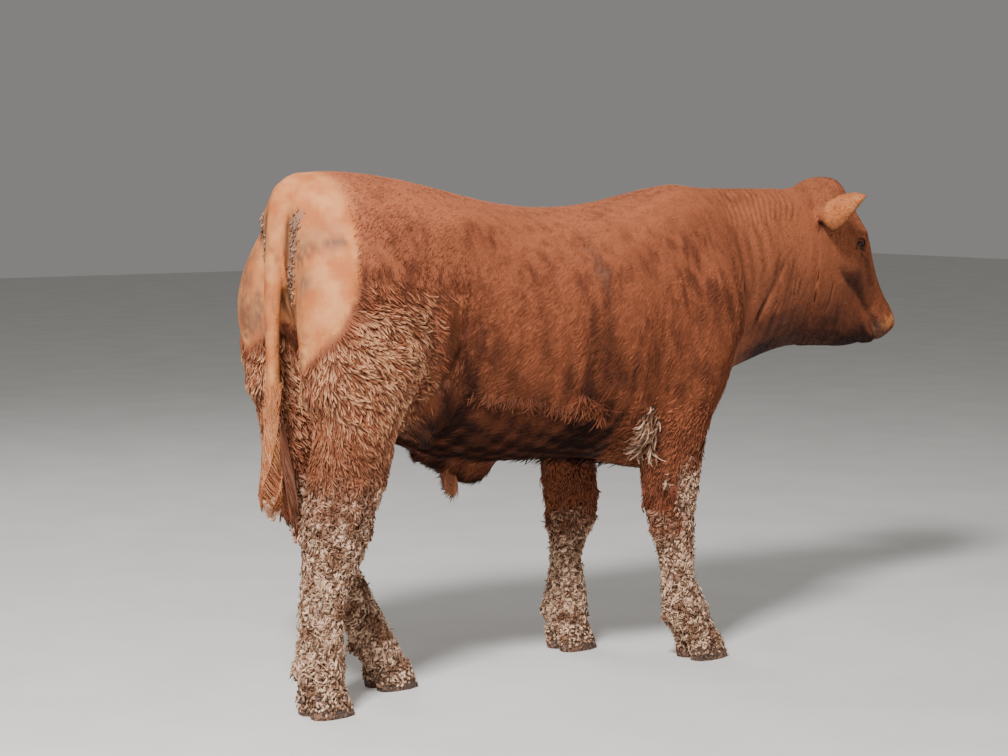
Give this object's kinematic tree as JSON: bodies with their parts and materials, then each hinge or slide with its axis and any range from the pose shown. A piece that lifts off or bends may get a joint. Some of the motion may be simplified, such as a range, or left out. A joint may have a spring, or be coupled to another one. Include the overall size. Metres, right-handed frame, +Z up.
{
  "type": "red charolais bull figure",
  "caption": "Life-size standing still model of a young polled red beef bull in a shaggy, mud-caked winter coat, its head lowered ahead.",
  "frame": {"origin": "on the floor, under the middle of the bounding box", "axes": "+X forward along the body to the head, +Y to the animal's left, +Z up"},
  "size_m": [2.142, 0.5586, 1.2975],
  "materials": {
    "red_coat": "reddish-brown winter hair, rough, dull sheen where wet",
    "muddy_hair": "long hair clotted with grey-brown mud, matt",
    "claw_horn": "dark horn of the claws, smeared with mud",
    "eye_surface": "dark brown eye, wet and glossy"
  },
  "bodies": {
    "root": {"neck": "red_coat", "eye_right": "eye_surface", "ear_right": "red_coat", "eye_left": "eye_surface", "ear_left": "red_coat", "head": "red_coat", "fore_right": "muddy_hair", "fore_left": "muddy_hair", "hind_right": "muddy_hair", "hind_left": "muddy_hair", "tail": "red_coat", "tail_switch": "muddy_hair", "sheath": "red_coat", "torso": "red_coat", "claw_hind_right_right": "claw_horn", "claw_hind_right_left": "claw_horn", "claw_hind_left_right": "claw_horn", "claw_hind_left_left": "claw_horn", "claw_fore_right_right": "claw_horn", "claw_fore_right_left": "claw_horn", "claw_fore_left_right": "claw_horn", "claw_fore_left_left": "claw_horn"}
  },
  "joints": []
}
